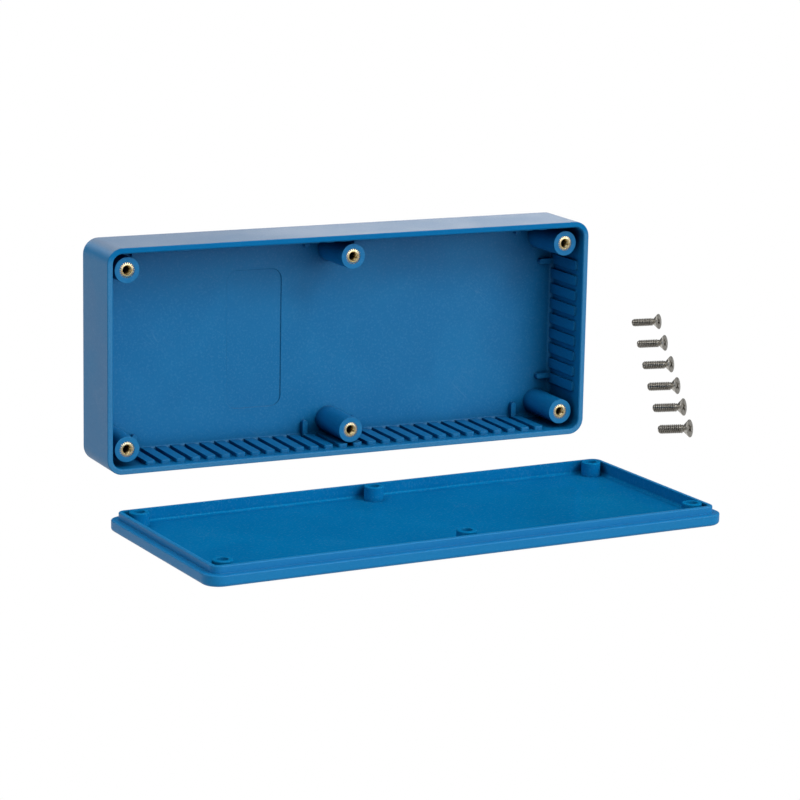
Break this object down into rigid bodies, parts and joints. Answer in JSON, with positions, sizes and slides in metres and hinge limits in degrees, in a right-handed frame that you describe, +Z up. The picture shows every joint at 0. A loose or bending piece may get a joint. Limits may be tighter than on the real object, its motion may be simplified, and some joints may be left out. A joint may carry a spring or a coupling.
{
  "type": "plastic electronics enclosure",
  "caption": "Rectangular moulded plastic electronics enclosure laid out apart: open tray with threaded posts and card guides, flat lipped lid and countersunk screws.",
  "frame": {"origin": "centre of the tray's lower long side, the face the tray stands on", "axes": "+X along the tray's length, the tray opens towards -Y, +Z up; the lid lies in front of the tray and the screws in a row to its right, all on the plane z = 0"},
  "size_m": [0.3559, 0.3321, 0.082],
  "materials": {
    "case_plastic": "fine satin moulded",
    "lid_plastic": "satin outside, glossier inside",
    "insert_brass": "machined",
    "screw_metal": "nickel plated"
  },
  "bodies": {
    "tray": {"tray": "case_plastic", "insert_1": "insert_brass", "insert_2": "insert_brass", "insert_3": "insert_brass", "insert_4": "insert_brass", "insert_5": "insert_brass", "insert_6": "insert_brass"},
    "lid": {"lid": "lid_plastic"},
    "screw_1": {"screw_1": "screw_metal"},
    "screw_2": {"screw_2": "screw_metal"},
    "screw_3": {"screw_3": "screw_metal"},
    "screw_4": {"screw_4": "screw_metal"},
    "screw_5": {"screw_5": "screw_metal"},
    "screw_6": {"screw_6": "screw_metal"}
  },
  "joints": [
    {"name": "lid_tip", "type": "hinge", "parent": "tray", "child": "lid", "pos_m": [-0.02588, -0.07733, 0.0012], "axis": [0.9989, 0.0468, 0], "range_deg": [-90, 0]},
    {"name": "screw_1_turn", "type": "hinge", "parent": "tray", "child": "screw_1", "pos_m": [0.2311, 0.1594, 0.00345], "axis": [0.6364, -0.7584, 0.1408], "continuous": true},
    {"name": "screw_2_turn", "type": "hinge", "parent": "tray", "child": "screw_2", "pos_m": [0.2084, 0.1153, 0.00345], "axis": [0.6364, -0.7584, 0.1408], "continuous": true},
    {"name": "screw_3_turn", "type": "hinge", "parent": "tray", "child": "screw_3", "pos_m": [0.1873, 0.0742, 0.00345], "axis": [0.6364, -0.7584, 0.1408], "continuous": true},
    {"name": "screw_4_turn", "type": "hinge", "parent": "tray", "child": "screw_4", "pos_m": [0.1675, 0.0358, 0.00345], "axis": [0.6364, -0.7584, 0.1408], "continuous": true},
    {"name": "screw_5_turn", "type": "hinge", "parent": "tray", "child": "screw_5", "pos_m": [0.149, -0.0002, 0.00345], "axis": [0.6364, -0.7584, 0.1408], "continuous": true},
    {"name": "screw_6_turn", "type": "hinge", "parent": "tray", "child": "screw_6", "pos_m": [0.1316, -0.034, 0.00345], "axis": [0.6364, -0.7584, 0.1408], "continuous": true}
  ]
}
